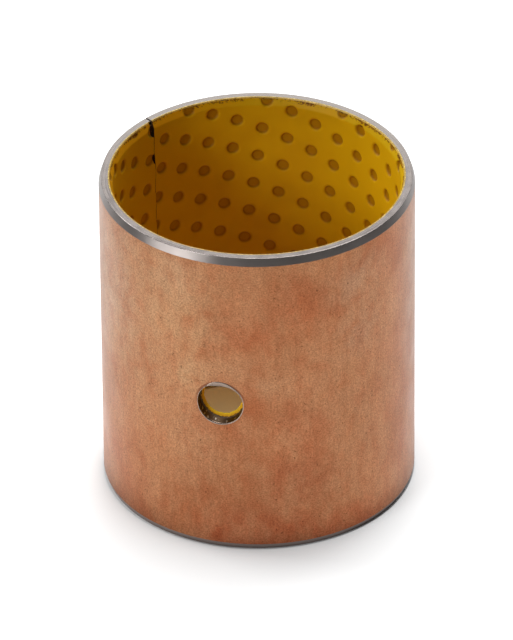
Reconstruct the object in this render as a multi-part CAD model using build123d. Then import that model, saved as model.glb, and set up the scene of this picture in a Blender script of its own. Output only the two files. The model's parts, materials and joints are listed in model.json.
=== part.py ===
"""Wrapped plain bushing: copper-plated steel, porous bronze and an acetal lining.

A flat three-layer strip is cut to length, its lining is rolled full of small
grease pockets, and the strip is wrapped into a tube with one butt joint. Each
bonded layer is a solid of its own.

Millimetres and degrees. The bore axis is Z, the origin is the middle of the
lower end face, and angles run anticlockwise from +X, seen from above.
"""
from build123d import *
import os
from math import ceil, cos, degrees, pi, radians, sin, tan

os.makedirs("parts", exist_ok=True)

# ---- Driving dimensions -------------------------------------------------------

# The tube and its three layers, from the bore outwards
bore_diameter = 50.0
bushing_length = 60.0
acetal_thickness = 0.55
bronze_thickness = 0.30
steel_thickness = 1.65

# Lead-in on the outside of both ends, its angle taken from the bore axis
outer_chamfer_length = 1.40
outer_chamfer_angle = 18.0

# Chamfer inside both ends, through both inner layers and a bite into the steel
inner_chamfer_angle = 31.0
inner_chamfer_bite = 0.03

# Butt joint where the two ends of the strip meet
split_angle = 136.2
split_gap = 0.15

# Corner broken off the lining at the top of the joint
chip_top_width = 0.55
chip_foot_width = 0.30
chip_length = 2.80

# Lubrication hole through the wall, at mid length
oil_hole_diameter = 8.0
oil_hole_from_split = 120.0
oil_hole_deburr = 0.50

# Grease pockets, rolled into the lining in slanting rows; the diameter is
# across the corners at the mouth, and the walls lean outwards
pocket_diameter = 2.25
pocket_wall_angle = 30.0
pocket_floor_thickness = 0.20
pocket_sides = 6
pocket_pitch = 4.755
row_slope = 22.3
row_pitch = 5.73
row_lean = 8.2
first_pocket_from_split = 2.80
first_pocket_below_end = 4.60

# How far a cutting tool runs past what it cuts
overrun = 0.30

# ---- Sizes that follow --------------------------------------------------------

bore_radius = bore_diameter / 2
bronze_radius = bore_radius + acetal_thickness
steel_radius = bronze_radius + bronze_thickness
outer_radius = steel_radius + steel_thickness
strip_length = pi * bore_diameter

outer_flat_radius = outer_radius - outer_chamfer_length * tan(radians(outer_chamfer_angle))
inner_flat_radius = steel_radius + inner_chamfer_bite
inner_chamfer_length = (inner_flat_radius - bore_radius) / tan(radians(inner_chamfer_angle))

oil_hole_height = bushing_length / 2
oil_hole_angle = split_angle + oil_hole_from_split


# ---- Wall and layers ----------------------------------------------------------

def wall_section():
    """Half section of the whole wall in the XZ plane, chamfers included."""
    top = bushing_length
    outline = Polyline(
        (bore_radius, inner_chamfer_length),
        (inner_flat_radius, 0),
        (outer_flat_radius, 0),
        (outer_radius, outer_chamfer_length),
        (outer_radius, top - outer_chamfer_length),
        (outer_flat_radius, top),
        (inner_flat_radius, top),
        (bore_radius, top - inner_chamfer_length),
        close=True,
    )
    return Plane.XZ * make_face(outline)


def layer(inside_radius, thickness):
    """Ring of one material between two radii, wrapped from the joint round to the joint."""
    corner = (Align.MIN, Align.MIN)
    strip = Rectangle(thickness, bushing_length, align=corner)
    section = wall_section() & Plane.XZ * Pos(inside_radius, 0) * strip
    return revolve(Rot(0, 0, split_angle) * section, Axis.Z)


# ---- Cutting tools ------------------------------------------------------------

def radial_plane(angle, height):
    """Plane on the bore axis whose normal points outwards at an angle."""
    outwards = (cos(radians(angle)), sin(radians(angle)), 0)
    return Plane(origin=(0, 0, height), x_dir=(0, 0, 1), z_dir=outwards)


def split_tool():
    """Blade that parts the two ends of the strip along the whole joint."""
    reach = outer_radius + overrun
    blade = Box(
        reach, split_gap, bushing_length + 2 * overrun,
        align=(Align.MIN, Align.CENTER, Align.MIN),
    )
    return Rot(0, 0, split_angle) * Pos(0, 0, -overrun) * blade


def chip_tool():
    """Wedge that is broken out of the lining beside the top of the joint."""
    edge = split_gap / 2
    outline = Polyline(
        (-edge, bushing_length + overrun),
        (edge + chip_top_width, bushing_length + overrun),
        (edge + chip_foot_width, bushing_length - chip_length),
        (-edge, bushing_length - chip_length),
        close=True,
    )
    wedge = extrude(Plane.YZ * make_face(outline), steel_radius + overrun)
    return Rot(0, 0, split_angle) * wedge


def oil_hole_tool():
    """Drill for the oil hole, with the flat countersink that deburrs its rim."""
    radius = oil_hole_diameter / 2
    reach = outer_radius + overrun
    drill = extrude(Circle(radius), reach)
    depth = oil_hole_deburr + overrun
    countersink = Pos(0, 0, reach) * Cone(
        radius, radius + depth, depth,
        align=(Align.CENTER, Align.CENTER, Align.MAX),
    )
    return radial_plane(oil_hole_angle, oil_hole_height) * (drill + countersink)


def pocket_tool():
    """Blunt punch for one grease pocket, flat on its end in the lining."""
    depth = acetal_thickness - pocket_floor_thickness
    spread = tan(radians(pocket_wall_angle))
    mouth_radius = pocket_diameter / 2 + overrun * spread
    floor_radius = pocket_diameter / 2 - depth * spread
    mouth = Pos(0, 0, bore_radius - overrun) * RegularPolygon(mouth_radius, pocket_sides)
    floor = Pos(0, 0, bore_radius + depth) * RegularPolygon(floor_radius, pocket_sides)
    return Rot(0, 0, 180 / pocket_sides) * loft([mouth, floor])


def pocket_places():
    """Yield the angle and height of every pocket, row by row along the strip."""
    slope, lean = radians(row_slope), radians(row_lean)
    step_run, step_drop = pocket_pitch * cos(slope), pocket_pitch * sin(slope)
    row_run, row_drop = row_pitch * sin(lean), row_pitch * cos(lean)
    count = ceil((strip_length + bushing_length) / min(pocket_pitch, row_pitch))
    margin = pocket_diameter / 2
    for row in range(-count, count + 1):
        for step in range(-count, count + 1):
            run = first_pocket_from_split + step * step_run - row * row_run
            drop = first_pocket_below_end + step * step_drop + row * row_drop
            on_strip = -margin < run < strip_length + margin
            if on_strip and -margin < drop < bushing_length + margin:
                yield split_angle - degrees(run / bore_radius), bushing_length - drop


# ---- The three pieces ---------------------------------------------------------

def steel_backing():
    """Outer steel tube with its joint and the deburred oil hole."""
    return layer(steel_radius, steel_thickness) - [split_tool(), oil_hole_tool()]


def bronze_interlayer():
    """Sintered bronze between the steel and the lining."""
    cuts = [split_tool(), oil_hole_tool(), chip_tool()]
    return layer(bronze_radius, bronze_thickness) - cuts


def acetal_lining():
    """Bearing lining with every grease pocket punched into its bore."""
    punch = pocket_tool()
    pockets = [radial_plane(angle, height) * punch for angle, height in pocket_places()]
    cuts = [split_tool(), oil_hole_tool(), chip_tool(), *pockets]
    return layer(bore_radius, acetal_thickness) - cuts


pieces = {
    "steel_backing": steel_backing(),
    "bronze_interlayer": bronze_interlayer(),
    "acetal_lining": acetal_lining(),
}
for name, piece in pieces.items():
    export_step(piece, f"parts/{name}.step")
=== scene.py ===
"""Dressed model of a wrapped plain bushing with a pocketed acetal lining.

The wall is three bonded layers, copper-plated steel, sintered bronze and acetal,
wrapped round one butt joint. Each layer is laid out flat, as the strip that it
is made from, and then wrapped onto the bore axis. A place on the strip is its
run, clockwise from the joint along the bore as seen from above, and its height
above the lower end.

The bushing's sizes are in millimetres and degrees, and a mesh is put into metres
when it is made. The studio around it is in metres.
"""
import json
import logging
from dataclasses import dataclass, field
from enum import Enum, IntEnum
from math import atan2, ceil, cos, degrees, hypot, pi, radians, sin, tan
from typing import Optional, Sequence, Union

import bpy
import numpy as np
from mathutils import Matrix, Vector, geometry

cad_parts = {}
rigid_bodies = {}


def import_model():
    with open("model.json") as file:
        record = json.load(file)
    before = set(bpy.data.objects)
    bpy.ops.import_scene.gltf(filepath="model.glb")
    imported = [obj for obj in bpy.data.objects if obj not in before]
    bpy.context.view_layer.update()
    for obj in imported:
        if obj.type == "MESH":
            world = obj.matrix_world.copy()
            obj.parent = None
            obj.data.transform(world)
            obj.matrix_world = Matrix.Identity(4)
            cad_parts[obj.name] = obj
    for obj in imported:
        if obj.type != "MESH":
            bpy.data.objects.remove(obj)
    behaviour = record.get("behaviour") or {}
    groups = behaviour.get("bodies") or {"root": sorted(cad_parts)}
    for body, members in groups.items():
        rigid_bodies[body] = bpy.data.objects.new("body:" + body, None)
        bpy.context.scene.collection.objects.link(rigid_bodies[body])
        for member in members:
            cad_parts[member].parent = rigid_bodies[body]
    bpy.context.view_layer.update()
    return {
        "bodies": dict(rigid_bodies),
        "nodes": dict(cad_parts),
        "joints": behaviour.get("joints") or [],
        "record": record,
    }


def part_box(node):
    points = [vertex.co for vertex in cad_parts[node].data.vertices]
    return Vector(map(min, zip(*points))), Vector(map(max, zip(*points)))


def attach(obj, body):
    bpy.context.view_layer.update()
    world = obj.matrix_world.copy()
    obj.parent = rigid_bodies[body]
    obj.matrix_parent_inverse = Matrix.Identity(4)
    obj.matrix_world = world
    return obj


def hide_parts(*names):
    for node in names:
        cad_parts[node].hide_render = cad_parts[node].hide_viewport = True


MM = 0.001
BODY = "root"
TINT = "tint"

# Points that agree to this many decimals of a millimetre are welded
WELD_DECIMALS = 6
# Places on the flat strip that are closer than this are one for the triangles
TOUCHING = 1e-7
# Shortest normal that can be brought to unit length
SHORTEST = 1e-12

Socket = bpy.types.NodeSocket
Feed = Union[Socket, float, Sequence[float]]
Number = Union[float, np.ndarray]
Pair = tuple[float, float]
Axes = tuple[float, float, float]
Colour = tuple[float, float, float]
Curve = tuple[Pair, ...]

log = logging.getLogger("bushing")


# ---- Sizes -------------------------------------------------------------------


def reach(node: bpy.types.Object) -> float:
    """Return the largest radius of a frame node about the bore axis."""
    return max(hypot(vertex.co.x, vertex.co.y) for vertex in node.data.vertices) / MM


@dataclass(frozen=True)
class WallSizes:
    """Radii, length and oil hole of the wall; a layer's radius is that of its inner face."""

    bore: float
    bronze: float
    steel: float
    outside: float
    length: float
    hole: float
    hole_angle: float
    hole_height: float

    @classmethod
    def of(cls, frame: dict) -> "WallSizes":
        """Read the sizes from the record's mounts and the frame's nodes.


        Returns:
            The sizes that all three layers are built from.
        """
        mounts = {mount["name"]: mount for mount in frame["record"]["mounts"]}
        x, y, z = mounts["oil_hole"]["pos_m"]
        return cls(
            bore=mounts["bore"]["dims"]["r_mm"],
            bronze=reach(frame["nodes"]["acetal_lining"]),
            steel=reach(frame["nodes"]["bronze_interlayer"]),
            outside=mounts["outside_diameter"]["dims"]["r_mm"],
            length=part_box("steel_backing")[1].z / MM,
            hole=mounts["oil_hole"]["dims"]["r_mm"],
            hole_angle=degrees(atan2(y, x)),
            hole_height=z / MM,
        )

    @property
    def strip(self) -> float:
        """Return the length of the strip along the bore."""
        return 2 * pi * self.bore


@dataclass(frozen=True)
class EndCut:
    """Chamfers turned on both ends of the wall."""

    outer_length: float = 1.40
    lower_length: float = 1.05
    outer_angle: float = 18.0
    outer_ease: float = 0.40
    rim_ease: float = 0.10
    inner_length: float = 1.42
    inner_bite: float = 0.09
    crease: float = 0.07

    def brink(self, sizes: WallSizes) -> float:
        """Return the radius where the inner chamfer meets the rim."""
        return sizes.bronze + self.inner_bite

    def slope(self, sizes: WallSizes) -> float:
        """Return how fast the inner chamfer widens towards the rim."""
        return (self.brink(sizes) - sizes.bore) / self.inner_length

    def depth(self, sizes: WallSizes, radius: float) -> float:
        """Return how far below the rim the inner chamfer meets a radius."""
        return (self.brink(sizes) - radius) / self.slope(sizes)

    def flat_radius(self, sizes: WallSizes, length: float) -> float:
        """Return the outer radius of the rim's flat, past an outside chamfer of a length."""
        return sizes.outside - length * tan(radians(self.outer_angle))


@dataclass(frozen=True)
class Chip:
    """A bit broken off the lining's far end, beside the joint."""

    top: float
    foot: float
    top_width: float
    foot_width: float
    ledge: float = 0.12

    def width(self, height: np.ndarray) -> np.ndarray:
        """Return how far the edge stands back at each height."""
        across = [self.foot - self.ledge, self.foot, self.top, self.top + self.ledge]
        return np.interp(height, across, [0, self.foot_width, self.top_width, 0])


@dataclass(frozen=True)
class ButtJoint:
    """Where the two ends of the strip meet, and how far they are from matching.

    A gap is given as its height and width, a bend as its height and run, and a
    ripple as its rate and start.
    """

    from_hole: float = 120.0
    gaps: Curve = ((45.0, 0.13), (50.0, 0.14), (56.0, 0.15))
    rim_gap: float = 0.16
    rim_depth: float = 2.0
    bends: Curve = (
        (37.0, 0.60),
        (40.5, 0.38),
        (43.5, 0.45),
        (46.4, 0.25),
        (50.0, 0.50),
        (53.5, 0.15),
        (57.2, 0.15),
    )
    wander: float = 0.02
    ripples: Curve = ((1.7, 0.0), (3.1, 1.0))
    step: float = 0.05
    step_spread: float = 7.0
    hold: float = 2.4
    chips: tuple[Chip, ...] = (Chip(61.0, 57.1, 0.66, 0.34), Chip(53.3, 51.5, 0.22, 0.24))

    def line(self, height: np.ndarray) -> np.ndarray:
        """Return the run of the joint's middle line at each height."""
        rough = sum(np.sin(height * rate + start) for rate, start in self.ripples)
        return np.interp(height, *zip(*self.bends)) + self.wander * rough

    def half_gap(self, height: np.ndarray, length: float) -> np.ndarray:
        """Return half the gap at each height; it opens towards both rims."""
        flare = self.rim_gap * np.exp(-np.minimum(height, length - height) / self.rim_depth)
        return (np.interp(height, *zip(*self.gaps)) + flare) / 2


def read_round(curve: Curve, turn: np.ndarray) -> np.ndarray:
    """Return the value of a closed curve of (degrees, value) at angles in radians."""
    return np.interp(np.degrees(turn), *zip(*curve), period=360)


@dataclass(frozen=True)
class HoleWear:
    """How the oil hole is burred outside, and how it narrows through the soft layers.

    The angles round the hole start onward along the strip, and 90 degrees is up.
    """

    shift: float = 0.14
    burr: Curve = (
        (0, 0.14),
        (52, 0.14),
        (66, 0.36),
        (80, 0.54),
        (105, 0.50),
        (125, 0.28),
        (180, 0.16),
        (225, 0.26),
        (300, 0.34),
    )
    burr_height: float = 0.07
    overhang: Curve = (
        (52, 0.0),
        (64, 0.24),
        (77, 0.46),
        (90, 0.50),
        (105, 0.38),
        (120, 0.18),
        (150, 0.0),
    )
    bronze: float = 3.86
    lining: Curve = (
        (0, 3.38),
        (30, 3.50),
        (60, 3.72),
        (105, 3.66),
        (150, 3.42),
        (270, 3.34),
    )
    lean: Pair = (0.08, -0.06)
    ragged: float = 0.05
    tears: tuple[int, ...] = (3, 7, 11, 17, 24)
    scatter: float = 2.1
    crest: float = 3.0

    def burr_width(self, turn: np.ndarray) -> np.ndarray:
        """Return how far the burr lies over the plating at each angle round the hole."""
        return read_round(self.burr, turn)

    def burr_overhang(self, turn: np.ndarray) -> np.ndarray:
        """Return how far the burr hangs into the hole at each angle round it."""
        return read_round(self.overhang, turn)

    def bronze_radius(self, turn: np.ndarray) -> np.ndarray:
        """Return the radius of the hole where the lining starts, at each angle round it."""
        return self.torn(turn, self.bronze)

    def lining_radius(self, turn: np.ndarray) -> np.ndarray:
        """Return the radius of the hole in the lining's face at each angle round it."""
        return self.torn(turn, read_round(self.lining, turn))

    def torn(self, turn: np.ndarray, hole: Number) -> np.ndarray:
        """Return a torn edge's distance from the hole's axis at each angle round it."""
        rough = sum(np.sin(count * turn + self.scatter * count**2) for count in self.tears)
        return hole + self.ragged * rough / self.crest


@dataclass(frozen=True)
class Wrap:
    """Wraps places on the flat strip onto the bore axis."""

    sizes: WallSizes
    joint: ButtJoint
    wear: HoleWear

    @property
    def hole_run(self) -> float:
        """Return the run of the oil hole's axis."""
        return radians(360 - self.joint.from_hole) * self.sizes.bore + self.wear.shift

    def angle(self, run: np.ndarray) -> np.ndarray:
        """Return the angle about the bore axis at each run, in radians."""
        return radians(self.sizes.hole_angle - self.joint.from_hole) - run / self.sizes.bore

    def outward(self, run: np.ndarray) -> np.ndarray:
        """Return the unit vectors away from the axis at each run."""
        angle = self.angle(run)
        return np.stack([np.cos(angle), np.sin(angle), 0 * angle], axis=-1)

    def onward(self, run: np.ndarray) -> np.ndarray:
        """Return the unit vectors along the strip at each run."""
        angle = self.angle(run)
        return np.stack([np.sin(angle), -np.cos(angle), 0 * angle], axis=-1)

    def settle(self, run: np.ndarray, height: np.ndarray, chipped: bool) -> np.ndarray:
        """Draw the strip's two ends to the worn edges of the joint.

        Args:
            run: Runs on a strip whose ends are straight.
            height: Heights above the lower end.
            chipped: Whether the layer has the chips.

        Returns:
            The runs as they are on the worn strip.
        """
        joint, length = self.joint, self.sizes.length
        middle, half = joint.line(height), joint.half_gap(height, length)
        broken = sum(chip.width(height) for chip in joint.chips) if chipped else 0
        near = np.clip(1 - run / joint.hold, 0, 1) ** 2
        far = np.clip(1 - (self.sizes.strip - run) / joint.hold, 0, 1) ** 2
        return run + near * (middle + half) + far * (middle - half - broken)

    def place(self, run: np.ndarray, height: np.ndarray, radius: Number) -> np.ndarray:
        """Wrap places onto the axis, with the small step between the two ends.

        Args:
            run: Settled runs.
            height: Heights above the lower end.
            radius: Radii in the layer, before the step.

        Returns:
            Points in millimetres, one a row.
        """
        spread = self.joint.step_spread
        step = np.exp(-run / spread) - np.exp(-(self.sizes.strip - run) / spread)
        out, angle = radius + self.joint.step / 2 * step, self.angle(run)
        return np.stack([out * np.cos(angle), out * np.sin(angle), height + 0 * out], axis=-1)

    def hole_ring(
        self, hole: Number, radius: float, turn: np.ndarray, lean: Pair = (0, 0)
    ) -> np.ndarray:
        """Return the run and height of each corner of a ring round the oil hole.

        Args:
            hole: Radius of the ring about the hole's own axis, or one a corner.
            radius: Radius about the bore axis that the ring lies on.
            turn: Angle of each corner round the hole, in radians.
            lean: How far along the strip, and up, the ring stands off the hole's axis.

        Returns:
            One (run, height) a row.
        """
        across = np.arcsin(hole * np.cos(turn) / radius) * self.sizes.bore
        up = hole * np.sin(turn)
        ring = np.stack([self.hole_run + across, self.sizes.hole_height + up], axis=-1)
        return ring + lean


class Grain:
    """Smooth seeded noise over the strip, from 0 to 1, that meets itself at the joint."""

    def __init__(self, cell: float, strip: float, length: float, seed: int) -> None:
        """Draw one random value for each corner of a net of square cells.

        Args:
            cell: About how wide a cell is.
            strip: Length of the strip, which a whole number of cells fills.
            length: Height of the strip.
            seed: Seed of the draw.
        """
        columns = max(2, round(strip / cell))
        self.cell = strip / columns
        rows = ceil(length / self.cell) + 2
        self.values = np.random.default_rng(seed).random((columns, rows))

    def at(self, run: np.ndarray, height: np.ndarray) -> np.ndarray:
        """Blend the values at the four corners round each place.

        Args:
            run: Runs on the strip.
            height: Heights above the lower end.

        Returns:
            The noise at each place.
        """
        columns, rows = self.values.shape
        across, up = run / self.cell, height / self.cell
        column, row = np.floor(across).astype(int), np.clip(np.floor(up), 0, rows - 2).astype(int)
        x, y = across - column, np.clip(up - row, 0, 1)
        x, y = x * x * (3 - 2 * x), y * y * (3 - 2 * y)
        left, right = column % columns, (column + 1) % columns
        low = self.values[left, row] * (1 - x) + self.values[right, row] * x
        high = self.values[left, row + 1] * (1 - x) + self.values[right, row + 1] * x
        return low * (1 - y) + high * y


# ---- Meshes ------------------------------------------------------------------


def triangulate(places: np.ndarray, loops: Sequence[Sequence[int]], filled: bool) -> np.ndarray:
    """Join flat points into triangles that keep to some closed loops of edges.

    Args:
        places: One (x, y) a row.
        loops: Rings of row numbers whose edges stay.
        filled: Whether only the inside of the loops is wanted, and not all that
            lies between the points.

    Returns:
        Row numbers of each triangle's corners, anticlockwise.
    """
    edges = [(ring[i - 1], ring[i]) for ring in loops for i in range(len(ring))]
    spots = [Vector((float(x), float(y))) for x, y in places]
    made = geometry.delaunay_2d_cdt(spots, edges, [], int(filled), TOUCHING, True)
    sources = [min(found) for found in made[3]]
    return np.array([[sources[corner] for corner in face] for face in made[2]])


def eased(corners: Sequence[tuple[float, float, float]], steps: int = 4) -> np.ndarray:
    """Round the corners of an open outline.

    Args:
        corners: Each corner's radius from the axis, height and rounding.
        steps: Number of edges that each rounding is made of.

    Returns:
        One (radius, height) a row.
    """
    points = [np.array(corner[:2]) for corner in corners]
    outline = [points[0]]
    for before, point, after, corner in zip(points, points[1:], points[2:], corners[1:]):
        back, ahead = before - point, after - point
        back, ahead = back / np.linalg.norm(back), ahead / np.linalg.norm(ahead)
        trim = corner[2] / tan(np.arccos(np.clip(back @ ahead, -1, 1)) / 2)
        start, end = point + back * trim, point + ahead * trim
        share = np.linspace(0, 1, steps + 1)[:, None]
        curve = (1 - share) ** 2 * start + 2 * share * (1 - share) * point + share**2 * end
        outline.extend(curve)
    return np.array([*outline, points[-1]])


def spaced(low: float, high: float, step: float) -> np.ndarray:
    """Return evenly spaced values from low to high, about a step apart."""
    return np.linspace(low, high, max(2, round((high - low) / step) + 1))


def pairs(first: Number, second: np.ndarray) -> np.ndarray:
    """Return one (first, second) a row, with the first the same or one each."""
    return np.stack([np.broadcast_to(first, np.shape(second)), second], axis=-1)


class Shell:
    """Gathers the patches of one piece and welds them into a closed mesh."""

    def __init__(self) -> None:
        """Start with no patches."""
        self.points: list[np.ndarray] = []
        self.corners: list[np.ndarray] = []
        self.normals: list[np.ndarray] = []
        self.finishes: list[np.ndarray] = []
        self.tints: list[np.ndarray] = []
        self.count = 0

    def add(
        self,
        points: np.ndarray,
        triangles: np.ndarray,
        finish: Union[int, np.ndarray] = 0,
        normals: Optional[np.ndarray] = None,
        tint: Number = 0.0,
        flip: bool = False,
    ) -> None:
        """Add a patch of triangles that is smooth within itself.

        Args:
            points: One point a row.
            triangles: Row numbers of each triangle's corners.
            finish: Number of the finish, one for all or one a triangle.
            normals: One a point; worked out from the triangles if left out.
            tint: How far a finish turns to its second colour, one for all or one a point.
            flip: Whether the triangles are turned over.
        """
        if flip:
            triangles = triangles[:, ::-1]
        if normals is None:
            a, b, c = (points[triangles[:, i]] for i in range(3))
            faces = np.cross(b - a, c - a)
            normals = np.zeros_like(points)
            for i in range(3):
                np.add.at(normals, triangles[:, i], faces)
        lengths = np.linalg.norm(normals, axis=1, keepdims=True)
        self.points.append(points)
        self.corners.append(triangles + self.count)
        self.normals.append(normals / np.maximum(lengths, SHORTEST))
        self.finishes.append(np.broadcast_to(finish, len(triangles)))
        self.tints.append(np.broadcast_to(tint, len(points)))
        self.count += len(points)

    def net(
        self,
        rows: np.ndarray,
        finish: Union[int, np.ndarray] = 0,
        tint: Union[float, Sequence[float]] = 0.0,
        closed: bool = False,
        flip: bool = False,
    ) -> None:
        """Add a patch that joins rows of points.

        Args:
            rows: Points by row and column.
            finish: Number of the finish, one for all or one a row of faces.
            tint: How far the finish turns to its second colour, one for all or one a row.
            closed: Whether the last column joins the first.
            flip: Whether the faces are turned over.
        """
        height, width = rows.shape[:2]
        column = np.arange(width if closed else width - 1)
        nearer, beyond = column, (column + 1) % width
        base = np.arange(height - 1)[:, None] * width
        a, b = base + nearer, base + beyond
        c, d = base + width + beyond, base + width + nearer
        triangles = np.stack([a, b, c, a, c, d], axis=-1).reshape(-1, 3)
        if not np.isscalar(finish):
            finish = np.repeat(finish, 2 * len(column))
        if not np.isscalar(tint):
            tint = np.repeat(tint, width)
        self.add(rows.reshape(-1, 3), triangles, finish, tint=tint, flip=flip)

    def make(self, name: str, finishes: Sequence[bpy.types.Material]) -> bpy.types.Object:
        """Weld the patches and link the piece into the scene.

        Args:
            name: Name of the piece.
            finishes: Materials in the order of their numbers.

        Returns:
            The new piece, in metres.
        """
        points, corners = np.concatenate(self.points), np.concatenate(self.corners)
        normals, finish = np.concatenate(self.normals)[corners], np.concatenate(self.finishes)
        _, first, welded = np.unique(
            np.round(points, WELD_DECIMALS), axis=0, return_index=True, return_inverse=True
        )
        corners = welded.reshape(-1)[corners]
        a, b, c = corners.T
        # Triangles that have lost an edge to the weld are dropped
        whole = (a != b) & (b != c) & (c != a)
        corners, normals, finish = corners[whole], normals[whole], finish[whole]
        mesh = bpy.data.meshes.new(name)
        mesh.from_pydata(points[first] * MM, [], corners.tolist())
        mesh.polygons.foreach_set("material_index", finish.astype(np.int32))
        mesh.polygons.foreach_set("use_smooth", np.ones(len(corners), bool))
        for material in finishes:
            mesh.materials.append(material)
        tint = mesh.attributes.new(TINT, "FLOAT", "POINT")
        tint.data.foreach_set("value", np.concatenate(self.tints)[first].astype(np.float32))
        mesh.normals_split_custom_set(normals.reshape(-1, 3))
        piece = bpy.data.objects.new(name, mesh)
        bpy.context.scene.collection.objects.link(piece)
        return piece


@dataclass
class Layer:
    """What the three layers of the wall share: sheets, rims, joint faces and the hole.

    All patches have the same columns along the strip, the same corners up its two
    ends and the same corners round the hole, so they weld where they meet.
    """

    wrap: Wrap
    ends: EndCut
    columns: int = 720
    hole_sides: int = 96
    edge_step: float = 0.4
    pitch: float = 1.2
    chipped: bool = False
    shell: Shell = field(default_factory=Shell, init=False)

    @property
    def sizes(self) -> WallSizes:
        """Return the sizes of the wall."""
        return self.wrap.sizes

    @property
    def turn(self) -> np.ndarray:
        """Return the angle of each corner round the hole, in radians."""
        return np.arange(self.hole_sides) * (2 * pi / self.hole_sides)

    def points(self, places: np.ndarray, radius: Number) -> np.ndarray:
        """Wrap unworn places at a radius, or at one radius each."""
        run = self.wrap.settle(places[..., 0], places[..., 1], self.chipped)
        return self.wrap.place(run, places[..., 1], radius)

    def row(self, height: float) -> np.ndarray:
        """Return a row of places along the whole strip at one height."""
        run = np.linspace(0, self.sizes.strip, self.columns + 1)
        return np.stack([run, np.full_like(run, height)], axis=-1)

    def mirrored(self, places: np.ndarray) -> np.ndarray:
        """Return the same places, or outline, at the other end of the wall."""
        return places * (1, -1) + (0, self.sizes.length)

    def sheet_places(
        self, span: Pair, inner: Sequence[np.ndarray], ring: np.ndarray
    ) -> tuple[np.ndarray, np.ndarray]:
        """Lay out one sheet of the layer, with its hole, as flat triangles.

        Args:
            span: Heights of the sheet's lower and upper edge.
            inner: Sets of places inside the sheet.
            ring: Places round the edge of the hole.

        Returns:
            The places, and the triangles between them.
        """
        up = spaced(*span, self.edge_step)[1:-1]
        right, left = pairs(self.sizes.strip, up), pairs(0.0, up[::-1])
        outline = np.concatenate([self.row(span[0]), right, self.row(span[1])[::-1], left])
        places = np.concatenate([outline, ring, *inner])
        edge, hole = range(len(outline)), range(len(outline), len(outline) + len(ring))
        triangles = triangulate(places, [edge, hole], filled=False)
        # Triangles with all corners on the edge of the hole lie in it
        in_hole = (triangles >= hole.start) & (triangles < hole.stop)
        return places, triangles[~in_hole.all(axis=1)]

    def plain_sheet(
        self, radius: float, span: Pair, hole: Number, finish: int, outer: bool
    ) -> None:
        """Add a cylindrical sheet with the hole in it.

        Args:
            radius: Radius of the sheet.
            span: Heights of its lower and upper edge.
            hole: Radius of the hole in it, or one a corner.
            finish: Number of its finish.
            outer: Whether the sheet faces away from the axis.
        """
        pitch, (low, high) = self.pitch, span
        run, height = np.meshgrid(
            spaced(pitch, self.sizes.strip - pitch, pitch), spaced(low + pitch, high - pitch, pitch)
        )
        inner = np.stack([run.ravel(), height.ravel()], axis=-1)
        from_hole = np.hypot(*(inner - (self.wrap.hole_run, self.sizes.hole_height)).T)
        inner = inner[from_hole > np.max(hole) + pitch / 2]
        ring = self.wrap.hole_ring(hole, radius, self.turn)
        places, triangles = self.sheet_places(span, [inner], ring)
        away = self.wrap.outward(places[:, 0]) * (1 if outer else -1)
        self.shell.add(self.points(places, radius), triangles, finish, away, flip=outer)

    def rim(self, profile: np.ndarray, finish: Union[int, np.ndarray], flip: bool) -> None:
        """Sweep an end's profile along the strip.

        Args:
            profile: One (radius, height) a row, from outside to inside.
            finish: Number of the finish, one for all or one a stretch of the profile.
            flip: Whether the faces are turned over, as at the upper end.
        """
        rows = [self.points(self.row(height), radius) for radius, height in profile]
        self.shell.net(np.stack(rows), finish, flip=flip)

    def joint_faces(self, top: np.ndarray, bottom: np.ndarray, finish: int) -> None:
        """Close both ends of the strip.

        Args:
            top: Profile of the upper end, one (radius, height) a row.
            bottom: Profile of the lower end.
            finish: Number of the finish.
        """
        outer = spaced(bottom[0, 1], top[0, 1], self.edge_step)
        inner = spaced(bottom[-1, 1], top[-1, 1], self.edge_step)
        outer, inner = pairs(top[0, 0], outer), pairs(top[-1, 0], inner)
        outline = np.concatenate([outer, top[1:-1], inner[::-1], bottom[1:-1][::-1]])
        triangles = triangulate(outline, [range(len(outline))], filled=True)
        for run, flip in ((0.0, True), (self.sizes.strip, False)):
            points = self.points(pairs(run, outline[:, 1]), outline[:, 0])
            self.shell.add(points, triangles, finish, flip=flip)

    def hole_wall(
        self, rings: Sequence[tuple[Number, float]], finish: Union[int, Sequence[int]]
    ) -> None:
        """Line the hole.

        Args:
            rings: Each ring's radius about the hole's axis and about the bore axis,
                outermost first.
            finish: Number of the finish, one for all or one between each two rings.
        """
        rows = [
            self.points(self.wrap.hole_ring(hole, radius, self.turn), radius)
            for hole, radius in rings
        ]
        self.shell.net(np.stack(rows), finish, closed=True, flip=True)


# ---- Finishes ----------------------------------------------------------------


class Slide(Enum):
    """How a ramp passes from its start to its end, with Blender's names."""

    SMOOTH = "SMOOTHSTEP"
    STRAIGHT = "LINEAR"


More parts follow.
